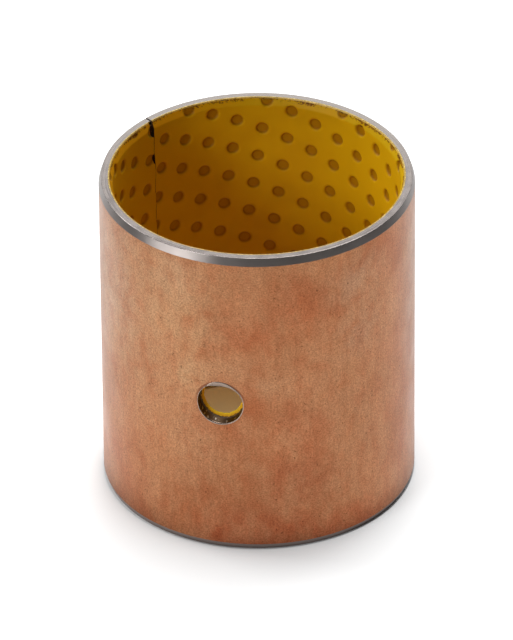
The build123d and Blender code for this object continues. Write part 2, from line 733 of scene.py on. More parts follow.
class Wiring:
    """The nodes of a material or world, with short calls for what they share."""

    def __init__(self, owner: Union[bpy.types.Material, bpy.types.World]) -> None:
        """Start with no nodes.

        Args:
            owner: The material or world.
        """
        owner.use_nodes = True
        self.owner = owner
        self.tree = owner.node_tree
        self.tree.nodes.clear()

    def node(self, kind: str, **settings: object) -> bpy.types.Node:
        """Add a node.

        Args:
            kind: Type of the node.
            settings: Its options.

        Returns:
            The node.
        """
        made = self.tree.nodes.new(kind)
        for name, value in settings.items():
            setattr(made, name, value)
        return made

    def feed(self, socket: Socket, value: Feed) -> None:
        """Link a socket to another, or set it to a constant.

        Args:
            socket: The input.
            value: An output to link, or a number, vector or colour.
        """
        if isinstance(value, Socket):
            self.tree.links.new(value, socket)
        elif socket.type == "RGBA" and len(value) == 3:
            socket.default_value = (*value, 1)
        else:
            socket.default_value = value

    def fill(self, node: bpy.types.Node, values: Sequence[Feed]) -> bpy.types.NodeOutputs:
        """Feed a node's first inputs.

        Args:
            node: The node.
            values: One value for each of the inputs, in their order.

        Returns:
            The node's outputs.
        """
        for socket, value in zip(node.inputs, values):
            self.feed(socket, value)
        return node.outputs

    def maths(self, operation: str, *values: Feed) -> Socket:
        """Return the result of one sum."""
        return self.fill(self.node("ShaderNodeMath", operation=operation), values)[0]

    def product(self, first: Feed, *others: Feed) -> Feed:
        """Multiply some numbers.

        Args:
            first: The first number.
            others: The rest.

        Returns:
            Their product.
        """
        for other in others:
            first = self.maths("MULTIPLY", first, other)
        return first

    def vectors(self, operation: str, *values: Feed) -> bpy.types.NodeOutputs:
        """Return one sum of vectors, as the outputs Vector and Value."""
        return self.fill(self.node("ShaderNodeVectorMath", operation=operation), values)

    def scaled(self, vector: Feed, share: Feed) -> Socket:
        """Return a vector made longer or shorter, or a colour made brighter or darker.

        Args:
            vector: The vector or colour.
            share: What it is multiplied by.

        Returns:
            The new vector or colour.
        """
        made = self.node("ShaderNodeVectorMath", operation="SCALE")
        self.feed(made.inputs["Scale"], share)
        return self.fill(made, [vector])["Vector"]

    def ramp(
        self,
        value: Feed,
        low: float,
        high: float,
        start: Feed = 0.0,
        end: Feed = 1.0,
        slide: Slide = Slide.SMOOTH,
    ) -> Socket:
        """Return start below low and end above high, with a passage between.

        Args:
            value: The number that is read.
            low: Where the passage starts.
            high: Where it ends.
            start: Result below it.
            end: Result above it.
            slide: Form of the passage.

        Returns:
            The result.
        """
        made = self.node("ShaderNodeMapRange", interpolation_type=slide.value)
        return self.fill(made, (value, low, high, start, end))[0]

    def blend(self, share: Feed, first: Feed, second: Feed) -> Socket:
        """Lay one colour over another.

        Args:
            share: How much of the second shows, from 0 to 1.
            first: The colour below.
            second: The colour on it.

        Returns:
            The colour that shows.
        """
        made = self.node("ShaderNodeMix", data_type="RGBA")
        self.feed(made.inputs["Factor"], share)
        # The node's colours come after its inputs and outputs of other kinds
        self.feed(made.inputs[6], first)
        self.feed(made.inputs[7], second)
        return made.outputs[2]

    def finish(self, kind: str, shader: Socket) -> Union[bpy.types.Material, bpy.types.World]:
        """Lead the shader to the output.

        Args:
            kind: Type of the output's node.
            shader: The shader.

        Returns:
            The finished material or world.
        """
        self.feed(self.node(kind).inputs["Surface"], shader)
        return self.owner


class SurfaceWiring(Wiring):
    """The nodes of a piece's finish, around its place on the piece in millimetres."""

    def __init__(self, name: str) -> None:
        """Start a new material.

        Args:
            name: Name of the material.
        """
        super().__init__(bpy.data.materials.new(name))
        here = self.node("ShaderNodeTexCoord").outputs["Object"]
        self.place = self.scaled(here, 1 / MM)

    def height(self) -> Socket:
        """Return the height above the lower end."""
        return self.fill(self.node("ShaderNodeSeparateXYZ"), [self.place])["Z"]

    def radius(self) -> Socket:
        """Return the radius about the bore axis."""
        level = self.vectors("MULTIPLY", self.place, (1, 1, 0))["Vector"]
        return self.vectors("LENGTH", level)["Value"]

    def along(self, direction: Axes) -> Socket:
        """Return the distance from the origin along a direction."""
        return self.vectors("DOT_PRODUCT", self.place, direction)["Value"]

    def noise(
        self, size: float, detail: float = 2.0, stretch: Axes = (1, 1, 1), shift: float = 0.0
    ) -> Socket:
        """Return noise from about 0 to 1.

        Args:
            size: Size of its largest blobs in millimetres.
            detail: Number of finer layers.
            stretch: How many times longer the blobs are along each axis.
            shift: Distance along all axes to other noise of the same kind.

        Returns:
            The noise.
        """
        scale = tuple(1 / (size * long) for long in stretch)
        moved = self.vectors("MULTIPLY_ADD", self.place, scale, (shift,) * 3)["Vector"]
        made = self.node("ShaderNodeTexNoise")
        self.feed(made.inputs["Vector"], moved)
        self.feed(made.inputs["Scale"], 1)
        self.feed(made.inputs["Detail"], detail)
        return made.outputs["Fac"]

    def streaks(self, length: float, width: float, rise: float = 0.4) -> Socket:
        """Return noise from about 0 to 1 in fine lines round the axis.

        Args:
            length: Length of the lines in millimetres.
            width: Width of the lines across the rim.
            rise: How fast they change up the wall, as a share of that across the rim.

        Returns:
            The noise.
        """
        along = self.vectors("MULTIPLY", self.place, (1 / length, 1 / length, 0))["Vector"]
        across = self.node("ShaderNodeCombineXYZ")
        self.feed(across.inputs["Z"], self.product(self.radius(), 1 / width))
        made = self.node("ShaderNodeTexNoise", noise_dimensions="4D")
        both = self.vectors("ADD", along, across.outputs["Vector"])["Vector"]
        self.feed(made.inputs["Vector"], both)
        self.feed(made.inputs["W"], self.product(self.height(), rise / width))
        self.feed(made.inputs["Scale"], 1)
        return made.outputs["Fac"]

    def near(self, centre: Vector, inner: float, outer: float, flat: float = 1.0) -> Socket:
        """Return 1 near a point, falling to 0 at the outer distance.

        Args:
            centre: The point.
            inner: Distance within which the result is 1.
            outer: Distance beyond which it is 0.
            flat: How many times shorter the region is up and down.

        Returns:
            The share.
        """
        away = self.vectors("SUBTRACT", self.place, centre)["Vector"]
        squeezed = self.vectors("MULTIPLY", away, (1, 1, flat))["Vector"]
        return self.ramp(self.vectors("LENGTH", squeezed)["Value"], inner, outer, 1, 0)

    def bump(self, height: Feed, depth: float) -> Socket:
        """Roughen the surface.

        Args:
            height: Height from 0 to 1.
            depth: What 1 is in millimetres.

        Returns:
            The normals.
        """
        made = self.node("ShaderNodeBump")
        self.feed(made.inputs["Distance"], depth * MM)
        self.feed(made.inputs["Height"], height)
        return made.outputs[0]

    def tint(self) -> Socket:
        """Return how far the piece turns to its second colour here."""
        return self.node("ShaderNodeAttribute", attribute_name=TINT).outputs["Fac"]

    def shaded(self, **sockets: Feed) -> bpy.types.Material:
        """Finish the material with one shader.

        Args:
            sockets: Values of the shader's sockets, with _ for each space.

        Returns:
            The material.
        """
        shader = self.node("ShaderNodeBsdfPrincipled")
        for name, value in sockets.items():
            self.feed(shader.inputs[name.replace("_", " ")], value)
        return self.finish("ShaderNodeOutputMaterial", shader.outputs[0])


@dataclass(frozen=True)
class Mottle:
    """Noise on a finish, turned into start below one level and end above another."""

    size: float
    low: float
    high: float
    start: float = 0.0
    end: float = 1.0
    detail: float = 2.0
    stretch: Axes = (1, 1, 1)
    shift: float = 0.0

    def noise(self, wire: SurfaceWiring) -> Socket:
        """Return the noise itself at each place."""
        return wire.noise(self.size, self.detail, self.stretch, self.shift)

    def share(self, wire: SurfaceWiring, drift: Optional[Socket] = None) -> Socket:
        """Return the mottle at each place.

        Args:
            wire: Nodes of the finish.
            drift: What is added to the noise, if anything is.

        Returns:
            The mottle, from start to end.
        """
        noise = self.noise(wire)
        if drift is not None:
            noise = wire.maths("ADD", noise, drift)
        return wire.ramp(noise, self.low, self.high, self.start, self.end)


@dataclass(frozen=True)
class Relief:
    """Fine roughness of a surface, with its depth in millimetres."""

    size: float
    depth: float
    detail: float = 2.0
    shift: float = 0.0

    def normals(self, wire: SurfaceWiring) -> Socket:
        """Return the normals of the rough surface."""
        return wire.bump(wire.noise(self.size, self.detail, shift=self.shift), self.depth)


@dataclass(frozen=True)
class PaintedLightPassage:
    """A painted change of light and shade from one side of the bushing to the other, by the way along a
    direction.
    """

    direction: Axes
    low: float
    high: float

    def share(
        self,
        wire: SurfaceWiring,
        start: float = 0.0,
        end: float = 1.0,
        drift: Optional[Socket] = None,
    ) -> Socket:
        """Return start before the change and end beyond it.

        Args:
            wire: Nodes of the finish.
            start: Result before the change.
            end: Result beyond it.
            drift: What is added to the way along, if anything is.

        Returns:
            The result.
        """
        way = wire.along(self.direction)
        if drift is not None:
            way = wire.maths("ADD", way, drift)
        return wire.ramp(way, self.low, self.high, start, end)


def facing(angle: float, elevation: float = 0.0, length: float = 1.0) -> Vector:
    """Return a vector that looks away from the bushing.

    Args:
        angle: Its angle from -Y towards +X, in degrees.
        elevation: Its angle above the level.
        length: Its length.

    Returns:
        The vector.
    """
    turn, rise = radians(angle), radians(elevation)
    flat = length * cos(rise)
    return Vector((sin(turn) * flat, -cos(turn) * flat, length * sin(rise)))


@dataclass(frozen=True)
class Patch:
    """A cloudy patch on the plating, at an angle from -Y towards +X; a few are painted shade and sheen.
    """

    angle: float
    height: float
    inner: float
    outer: float
    flat: float
    tint: Colour
    strength: float

    def share(self, wire: SurfaceWiring, radius: float) -> Socket:
        """Return how much of the patch there is at each place on a wall of a radius."""
        centre = facing(self.angle, length=radius) + Vector((0, 0, self.height))
        return wire.near(centre, self.inner, self.outer, self.flat)


@dataclass(frozen=True)
class TurnedSteel:
    """Bare steel faced and chamfered on a lathe, with fine lines round the axis; painted lighter
    towards the back, with its dirt painted deeper towards the front, as painted light and shade.
    """

    name: str = "turned_steel"
    colour: Colour = (0.44, 0.391, 0.370)
    # Painted light: the steel turns lighter towards the back
    rear_painted_light: Colour = (0.505, 0.457, 0.421)
    painted_light_to_rear: PaintedLightPassage = PaintedLightPassage((0, 1, 0), -15, 25)
    darkest_dirt_and_shade: Pair = (0.62, 0.86)
    dirt: Pair = (0.75, 1.20)
    streak: float = 6.0
    line: float = 0.18
    line_depth: float = 0.0015
    patches: Mottle = Mottle(2.2, 0.3, 0.7, detail=3, shift=4)
    roughness: Pair = (0.24, 0.17)

    def material(self) -> bpy.types.Material:
        """Build the finish.

        Returns:
            The material.
        """
        wire = SurfaceWiring(self.name)
        lines = wire.streaks(self.streak, self.line)
        patches = self.patches.noise(wire)
        clean_with_painted_light = wire.blend(self.painted_light_to_rear.share(wire), self.colour, self.rear_painted_light)
        # Painted light and shade: lighter towards the back, dirt deeper towards the front
        darkest_dirt_and_shade = self.painted_light_to_rear.share(wire, *self.darkest_dirt_and_shade)
        shade = wire.ramp(wire.maths("ADD", lines, patches), *self.dirt, darkest_dirt_and_shade, 1)
        return wire.shaded(
            Base_Color=wire.scaled(clean_with_painted_light, shade),
            Metallic=1.0,
            Roughness=wire.ramp(patches, self.patches.low, self.patches.high, *self.roughness),
            Normal=wire.bump(lines, self.line_depth),
        )


@dataclass(frozen=True)
class ScuffedShadedSteel(TurnedSteel):
    """Turned steel browned and scuffed where the bushing stands on it, and painted darker still as
    painted shade of the shaded table beside its foot.
    """

    name: str = "scuffed_steel"
    # Brown scuffing together with painted shade
    colour: Colour = (0.31, 0.250, 0.228)
    rear_painted_light: Colour = (0.31, 0.250, 0.228)
    roughness: Pair = (0.30, 0.23)


@dataclass(frozen=True)
class BurredSteel(TurnedSteel):
    """Steel drawn out with the plating on it by the drill."""

    name: str = "burred_steel"
    colour: Colour = (0.44, 0.335, 0.275)
    rear_painted_light: Colour = (0.44, 0.335, 0.275)
    roughness: Pair = (0.30, 0.23)


@dataclass(frozen=True)
class CopperPlate:
    """Thin matt copper on the outside wall, cut through where the ends are chamfered."""

    red: Colour = (0.375, 0.130, 0.054)
    pale: Colour = (0.435, 0.188, 0.086)
    tan: Colour = (0.47, 0.225, 0.110)
    blush: Colour = (0.36, 0.100, 0.040)
    clouds: Mottle = Mottle(11, 0.38, 0.62, detail=3, stretch=(1, 1, 1.3))
    ragged: Mottle = Mottle(3, 0.25, 0.6, 0.35, 1, detail=3)
    smears: Mottle = Mottle(4.0, 0.38, 0.70, 0.0, 0.48, detail=4, stretch=(1, 1, 1.6), shift=13)
    blotches: Mottle = Mottle(2.2, 0.40, 0.74, 0.0, 0.34, detail=4, stretch=(1, 1, 1.5), shift=17)
    streaks: Mottle = Mottle(0.6, 0.3, 0.7, 0.95, 1.05, stretch=(1, 1, 9), shift=3)
    specks: Mottle = Mottle(0.28, 0.30, 0.70, 0.79, 1.21, detail=3, shift=7)
    pits: Mottle = Mottle(0.45, 0.665, 0.72, 1.0, 0.50, shift=21)
    # Painted shadow: a dark ring just outside the burr, strongest above the hole
    burr_shadow: Colour = (0.16, 0.055, 0.03)
    burr_shadow_from: float = 0.16
    burr_shadow_to: float = 0.36
    burr_shadow_rise: Pair = (-1.0, 3.0)
    burr_shadow_shares: Pair = (0.1, 0.75)
    edge_grain: float = 0.5
    edge_wander: float = 0.12
    upper_edge: Pair = (0.04, 0.10)
    lower_edge: Pair = (-0.10, 0.0)
    roughness: Mottle = Mottle(6, 0.3, 0.7, 0.30, 0.37, shift=9)
    relief: Relief = Relief(0.24, 0.006, shift=11)
    # The patches at the foot are painted shade, and the pale one at the right edge is painted sheen
    patches: tuple[Patch, ...] = (
        Patch(-60.0, 44.0, 6.0, 24.0, 0.7, (0.46, 0.25, 0.130), 0.85),
        Patch(40.0, 30.0, 5.0, 20.0, 0.6, (0.43, 0.200, 0.100), 0.70),
        # Painted shade: these two dark red patches at the foot stand for the shaded table that it
        # mirrors
        Patch(8.0, 0.0, 6.0, 16.0, 1.6, (0.375, 0.100, 0.041), 0.85),
        Patch(34.0, 0.0, 4.0, 14.0, 1.6, (0.385, 0.108, 0.045), 0.70),
        Patch(-9.0, 37.0, 0.0, 9.0, 1.6, (0.50, 0.27, 0.14), 0.60),
        Patch(4.0, 33.5, 0.0, 8.0, 1.8, (0.50, 0.27, 0.14), 0.60),
        Patch(-38.0, 48.0, 0.0, 8.0, 1.8, (0.50, 0.27, 0.14), 0.50),
        Patch(-27.0, 52.0, 0.0, 6.0, 1.0, (0.50, 0.27, 0.14), 0.50),
        Patch(-4.0, 45.0, 0.0, 9.0, 1.2, (0.37, 0.105, 0.042), 0.60),
        Patch(14.0, 50.0, 0.0, 7.0, 0.8, (0.37, 0.105, 0.042), 0.55),
        Patch(12.0, 24.0, 0.0, 10.0, 1.0, (0.37, 0.110, 0.044), 0.55),
        Patch(48.7, 29.4, 0.0, 1.6, 1.0, (0.22, 0.10, 0.05), 0.45),
        Patch(-25.0, 45.0, 0.0, 11.0, 0.8, (0.50, 0.29, 0.15), 0.60),
        Patch(40.0, 52.0, 0.0, 10.0, 1.2, (0.46, 0.27, 0.16), 0.60),
        Patch(13.0, 13.0, 0.0, 11.0, 0.9, (0.32, 0.084, 0.035), 0.80),
        Patch(15.0, 24.5, 0.0, 6.0, 1.0, (0.33, 0.095, 0.040), 0.60),
        # Painted shade at the foot
        Patch(-8.0, 2.0, 2.0, 11.0, 1.1, (0.32, 0.072, 0.028), 0.85),
        Patch(-26.0, 22.0, 0.0, 8.0, 0.6, (0.50, 0.28, 0.15), 0.50),
        Patch(-25.0, 34.5, 0.0, 6.0, 1.0, (0.52, 0.32, 0.17), 0.70),
        Patch(-31.0, 55.0, 0.0, 8.0, 1.0, (0.50, 0.30, 0.17), 0.60),
        Patch(41.0, 41.0, 0.0, 8.0, 1.0, (0.47, 0.26, 0.15), 0.60),
        Patch(-72.0, 46.0, 0.0, 14.0, 0.8, (0.52, 0.33, 0.22), 0.65),
        # Painted sheen at the right edge
        Patch(79.0, 42.0, 0.0, 11.0, 0.4, (0.50, 0.32, 0.21), 0.60),
    )

    def material(self, sizes: WallSizes, ends: EndCut, hole: Vector, burr: float) -> bpy.types.Material:
        """Build the finish.

        Args:
            sizes: Sizes of the wall.
            ends: The chamfers that end the plating.
            hole: Middle of the oil hole on the outside wall.
            burr: Distance from there to the edge of the burr.

        Returns:
            The material.
        """
        wire = SurfaceWiring("copper_plate")
        colour = self.mottled(wire, sizes)
        # Painted shadow round the burr, strongest above the hole
        ring = wire.near(hole, burr + self.burr_shadow_from, burr + self.burr_shadow_to)
        low, high = (sizes.hole_height + rise for rise in self.burr_shadow_rise)
        above = wire.ramp(wire.height(), low, high, *self.burr_shadow_shares)
        colour = wire.blend(wire.product(ring, above), colour, self.burr_shadow)
        return wire.shaded(
            Base_Color=self.cut_through(wire, colour, sizes, ends),
            Metallic=1.0,
            Roughness=self.roughness.share(wire),
            Normal=self.relief.normals(wire),
        )

    def mottled(self, wire: SurfaceWiring, sizes: WallSizes) -> Socket:
        """Colour the plating in clouds, patches, smears and specks, where a few patches are painted
        shade and sheen.

        Args:
            wire: Nodes of the finish.
            sizes: Sizes of the wall.

        Returns:
            The colour.
        """
        colour = wire.blend(self.clouds.share(wire), self.red, self.pale)
        ragged = self.ragged.share(wire)
        for patch in self.patches:
            share = wire.product(patch.share(wire, sizes.outside), ragged, patch.strength)
            colour = wire.blend(share, colour, patch.tint)
        for mottle, tint in ((self.smears, self.tan), (self.blotches, self.blush)):
            colour = wire.blend(mottle.share(wire), colour, tint)
        fine = (mottle.share(wire) for mottle in (self.streaks, self.specks, self.pits))
        return wire.scaled(colour, wire.product(*fine))

    def cut_through(
        self, wire: SurfaceWiring, colour: Feed, sizes: WallSizes, ends: EndCut
    ) -> Socket:
        """Show the steel beyond the plating's ragged edges at both ends.

        Args:
            wire: Nodes of the finish.
            colour: Colour of the plating.
            sizes: Sizes of the wall.
            ends: The chamfers that end the plating.

        Returns:
            The colour.
        """
        height = wire.height()
        torn = wire.product(wire.noise(self.edge_grain, shift=5), self.edge_wander)
        upper, lower = sizes.length - ends.outer_length, ends.lower_length
        above = wire.maths("ADD", height, torn)
        bare = wire.ramp(above, *(upper + edge for edge in self.upper_edge))
        colour = wire.blend(bare, colour, TurnedSteel().colour)
        below = wire.maths("SUBTRACT", height, torn)
        # Below the plating the scuffed steel shows, with its painted shade
        wear_and_painted_shade = wire.ramp(below, *(lower + edge for edge in self.lower_edge), 1, 0)
        return wire.blend(wear_and_painted_shade, colour, ScuffedShadedSteel().colour)


@dataclass(frozen=True)
class CutEdge:
    """Rough dark edge where the soft layers were sheared."""

    name: str = "cut_edge"
    colour: Colour = (0.085, 0.046, 0.014)
    light: Colour = (0.20, 0.11, 0.025)
    spots: Mottle = Mottle(0.6, 0.548, 0.608, detail=3)
    metallic: float = 0.0
    roughness: float = 0.6
    relief: Relief = Relief(0.3, 0.02)

    def material(self) -> bpy.types.Material:
        """Build the finish.

        Returns:
            The material.
        """
        wire = SurfaceWiring(self.name)
        return wire.shaded(
            Base_Color=wire.blend(self.spots.share(wire), self.colour, self.light),
            Metallic=self.metallic,
            Roughness=self.roughness,
            Normal=self.relief.normals(wire),
        )


@dataclass(frozen=True)
class ShearedEdge(CutEdge):
    """Nearly black edge of the lining in the joint."""

    name: str = "sheared_edge"
    colour: Colour = (0.030, 0.016, 0.005)
    light: Colour = (0.070, 0.038, 0.010)


@dataclass(frozen=True)
class DrilledShadedSteel(CutEdge):
    """Dark drilled wall of the oil hole, and the steel's dark faces in the joint; the dark colour is
    painted shade of the hole and the joint.
    """

    name: str = "drilled_steel"
    # Painted shade: far darker than bare steel
    colour: Colour = (0.080, 0.048, 0.026)
    light: Colour = (0.40, 0.36, 0.30)
    spots: Mottle = Mottle(0.45, 0.5912, 0.6512, detail=3, stretch=(1, 3, 1))
    metallic: float = 1.0
    roughness: float = 0.38


@dataclass(frozen=True)
class SinteredBronze:
    """Porous bronze, cut bright on the rims and full of dark resin at the lining."""

    bright: Colour = (0.68, 0.50, 0.14)
    dull: Colour = (0.42, 0.29, 0.070)
    glints: Mottle = Mottle(0.6, 0.45, 0.62, detail=3, shift=2)
    resin: Colour = (0.86, 0.60, 0.14)
    resin_edge: Pair = (0.07, 0.11)
    torn: Mottle = Mottle(0.30, 0.35, 0.65, -0.05, 0.05, detail=3, shift=8)
    pore: Colour = (0.20, 0.085, 0.008)
    pores: Mottle = Mottle(0.18, 0.60, 0.66, shift=4)
    shine: float = 0.7
    roughness: float = 0.36
    relief: Relief = Relief(0.2, 0.02)

    def material(self, sizes: WallSizes) -> bpy.types.Material:
        """Build the finish.

        Args:
            sizes: Sizes of the wall.

        Returns:
            The material.
        """
        wire = SurfaceWiring("sintered_bronze")
        radius = wire.maths("ADD", wire.radius(), self.torn.share(wire))
        cut = wire.ramp(radius, *(sizes.bronze + edge for edge in self.resin_edge))
        metal = wire.blend(self.glints.share(wire), self.dull, self.bright)
        colour = wire.blend(cut, self.resin, metal)
        return wire.shaded(
            Base_Color=wire.blend(self.pores.share(wire), colour, self.pore),
            Metallic=wire.product(cut, self.shine),
            Roughness=self.roughness,
            Normal=self.relief.normals(wire),
        )


@dataclass(frozen=True)
class AcetalResin:
    """Yellow acetal, smooth from the rolls, with a few dark grains along its edges.

    It is painted from a darker, oranger colour on the left to its full one on the right,
    as painted light and shade that the clouds move about. The chamfers have the two
    colours that start with cut, painted the same way, and the pockets are deep where
    the piece's tint says so, which is in part painted shade.
    """

    name: str = "acetal_resin"
    colour: Colour = (0.785, 0.458, 0.003)
    # Painted shade on the left side of the bore
    wear_and_painted_shade: Colour = (0.695, 0.375, 0.003)
    cut: Colour = (0.73, 0.455, 0.004)
    # Painted shade on the left side of the chamfers
    cut_painted_shade: Colour = (0.79, 0.370, 0.003)
    deep: Colour = (0.41, 0.180, 0.002)
    # Painted light: from the left of the bore to its right
    painted_light: PaintedLightPassage = PaintedLightPassage((1, 0, 0), -14, 18)
    clouds: Mottle = Mottle(7, 0.3, 0.7, -9, 9)
    cut_depth: Pair = (1.5, 1.3)
    burnt: Colour = (0.17, 0.060, 0.004)
    singed: Colour = (0.42, 0.195, 0.008)
    browns: Mottle = Mottle(0.5, 0.4, 0.6, detail=3, shift=9)
    grains: Mottle = Mottle(0.36, 0.38, 0.62, 0.0, 0.27, detail=3, shift=3)
    crowds: Mottle = Mottle(6, 0.38, 0.62, -0.10, 0.10, detail=1, shift=5)
    burnt_edge: Pair = (0.03, 0.08)
    burnt_ring: float = 0.8
    roughness: float = 0.48
    index: float = 1.48
    specular: float = 0.15
    relief: Relief = Relief(0.8, 0.008, detail=3, shift=6)

    def material(self, sizes: WallSizes, hole: Vector) -> bpy.types.Material:
        """Build the finish.

        Args:
            sizes: Sizes of the wall.
            hole: Middle of the oil hole on the lining's face.

        Returns:
            The material.
        """
        wire = SurfaceWiring(self.name)
        middle = sizes.length / 2
        away = wire.maths("ABSOLUTE", wire.maths("SUBTRACT", wire.height(), middle))
        rims = wire.ramp(away, *(middle - depth for depth in self.cut_depth))
        painted_light = self.painted_light.share(wire, drift=self.clouds.share(wire))
        full = wire.blend(painted_light, self.wear_and_painted_shade, self.colour)
        colour = wire.blend(rims, full, wire.blend(painted_light, self.cut_painted_shade, self.cut))
        # The pockets' deep colour is in part painted shade in the recesses
        colour = wire.blend(wire.tint(), colour, self.deep)
        ring = wire.near(hole, sizes.hole, sizes.hole + self.burnt_ring)
        edges = wire.maths("MAXIMUM", rims, ring)
        brown = wire.blend(self.browns.share(wire), self.burnt, self.singed)
        burnt = wire.product(self.torn(wire, sizes), edges)
        return wire.shaded(
            Base_Color=wire.blend(burnt, colour, brown),
            Roughness=self.roughness,
            IOR=self.index,
            Specular_IOR_Level=self.specular,
            Normal=self.relief.normals(wire),
        )

    def torn(self, wire: SurfaceWiring, sizes: WallSizes) -> Socket:
        """Find the dark grains that lie against the bronze, in loose crowds.

        Args:
            wire: Nodes of the finish.
            sizes: Sizes of the wall.

        Returns:
            1 in the grains, and 0 elsewhere.
        """
        inward = self.grains.share(wire, drift=self.crowds.share(wire))
        radius = wire.maths("ADD", wire.radius(), inward)
        return wire.ramp(radius, *(sizes.bronze + edge for edge in self.burnt_edge))


@dataclass(frozen=True)
class TornResin(AcetalResin):
    """Acetal torn by the drill, painted brightest in the lower half of the hole as painted light.

    The direction of its passage is ten long, so that its way down is in tenths of a
    millimetre and the clouds move the passage by less than one.
    """

    name: str = "torn_resin"
    colour: Colour = (0.97, 0.65, 0.028)
    # Painted shade in the upper half of the hole
    wear_and_painted_shade: Colour = (0.88, 0.36, 0.012)
    deep: Colour = (0.84, 0.35, 0.008)
    painted_light: PaintedLightPassage = PaintedLightPassage((0, 0, -10), -300, -272)
    grains: Mottle = Mottle(0.36, 0.38, 0.62, 0.0, 0.14, detail=3, shift=3)


# ---- The layers --------------------------------------------------------------


@dataclass
class SteelBacking(Layer):
    """Copper-plated steel tube with its turned ends and the drilled oil hole.

    The burr has its shoulder, its crest and its lip at shares of its width, and
    the lip also at a share of what it hangs into the hole. Depths are measured
    from the outside wall, and the lip's drop from the crest.
    """

    class Finish(IntEnum):
        """Finishes of the backing, in the order of its material slots."""

        PLATE = 0
        TURNED = 1
        DRILLED = 2
        SCUFFED = 3
        BURRED = 4

    wall_margin: float = 0.45
    plate_margin: float = 0.10
    inner_margin: float = 0.20
    inner_ease: float = 0.01
    burr_shoulder: float = 0.75
    burr_crest: float = 0.45
    burr_lip: float = 0.20
    hang_lip: float = 0.7
    lip_drop: float = 0.03
    hang_depth: float = 0.10
    foot_depth: float = 0.22

    def rim_profile(self, chamfer: float) -> np.ndarray:
        """Draw the outline of an upper end.

        Args:
            chamfer: Length of its outside chamfer.

        Returns:
            One (radius, height) a row, from outside to inside.
        """
        sizes, ends, top = self.sizes, self.ends, self.sizes.length
        return eased(
            [
                (sizes.outside, top - chamfer - self.wall_margin, 0),
                (sizes.outside, top - chamfer, ends.outer_ease),
                (ends.flat_radius(sizes, chamfer), top, ends.rim_ease),
                (sizes.steel, top, self.inner_ease),
                (sizes.steel, top - self.inner_margin, 0),
            ]
        )

    def hole_rings(self) -> list[tuple[Number, float]]:
        """Draw the hole's wall, with the burr that the drill raised round it.

        Returns:
            Each ring's radius about the hole's axis and about the bore axis,
            outermost first.
        """
        sizes, wear = self.sizes, self.wrap.wear
        burr, hang = wear.burr_width(self.turn), wear.burr_overhang(self.turn)
        lip = sizes.outside + wear.burr_height
        return [
            (sizes.hole + burr, sizes.outside),
            (sizes.hole + self.burr_shoulder * burr, (sizes.outside + lip) / 2),
            (sizes.hole + self.burr_crest * burr, lip),
            (sizes.hole + self.burr_lip * burr - self.hang_lip * hang, lip - self.lip_drop),
            (sizes.hole - hang, sizes.outside - self.hang_depth),
            (sizes.hole, sizes.outside - self.foot_depth),
            (sizes.hole, sizes.steel),
        ]

    def build(self) -> bpy.types.Object:
        """Build the backing.

        Returns:
            The piece.
        """
        sizes, ends, finish = self.sizes, self.ends, self.Finish
        top = self.rim_profile(ends.outer_length)
        bottom = self.mirrored(self.rim_profile(ends.lower_length))
        # The lower end takes the scuffed steel with its painted shade
        for profile, bare, flip in ((top, finish.TURNED, True), (bottom, finish.SCUFFED, False)):
            plated = profile[:-1, 0] > sizes.outside - self.plate_margin
            self.rim(profile, np.where(plated, finish.PLATE, bare), flip)
        rings = self.hole_rings()
        outer, inner = (bottom[0, 1], top[0, 1]), (bottom[-1, 1], top[-1, 1])
        self.plain_sheet(sizes.outside, outer, rings[0][0], finish.PLATE, outer=True)
        # The steel's inner face and its joint faces take that painted shade too
        self.plain_sheet(sizes.steel, inner, sizes.hole, finish.DRILLED, outer=False)
        self.hole_wall(rings, 4 * [finish.BURRED] + 2 * [finish.DRILLED])
        self.joint_faces(top, bottom, finish.DRILLED)
        return self.shell.make("plated_backing", self.materials())

    def materials(self) -> list[bpy.types.Material]:
        """Dress the backing.

        Returns:
            Its materials in the order of their slots.
        """
        sizes, wrap = self.sizes, self.wrap
        hole = self.points(np.array([wrap.hole_run, sizes.hole_height]), sizes.outside)
        burr = sizes.hole + wrap.wear.burr_width(self.turn).mean()
        plate = CopperPlate().material(sizes, self.ends, Vector(hole), burr)
        bare = (TurnedSteel(), DrilledShadedSteel(), ScuffedShadedSteel(), BurredSteel())
        return [plate, *(steel.material() for steel in bare)]


@dataclass
class BronzeInterlayer(Layer):
    """Sintered bronze, which shows as a thin ragged line inside the rims."""

    class Finish(IntEnum):
        """Finishes of the interlayer, in the order of its material slots."""

        BRONZE = 0
        CUT = 1

    chipped: bool = True
    brink_ease: float = 0.03

    def build(self) -> bpy.types.Object:
        """Build the interlayer.

        Returns:
            The piece.
        """
        sizes, ends, length = self.sizes, self.ends, self.sizes.length
        bronze, cut = self.Finish.BRONZE, self.Finish.CUT
        low = ends.depth(sizes, sizes.bronze)
        brink = (ends.brink(sizes), length, self.brink_ease)
        top = eased([(sizes.steel, length, 0), brink, (sizes.bronze, length - low, 0)])
        bottom = self.mirrored(top)
        self.rim(top, bronze, flip=True)
        self.rim(bottom, bronze, flip=False)
        narrowed = self.wrap.wear.bronze_radius(self.turn)
        outer, inner = (bottom[0, 1], top[0, 1]), (bottom[-1, 1], top[-1, 1])
        self.plain_sheet(sizes.steel, outer, sizes.hole, bronze, outer=True)
        self.plain_sheet(sizes.bronze, inner, narrowed, bronze, outer=False)
        self.hole_wall([(sizes.hole, sizes.steel), (narrowed, sizes.bronze)], cut)
        self.joint_faces(top, bottom, cut)
        return self.shell.make("bronze_band", [SinteredBronze().material(sizes), CutEdge().material()])


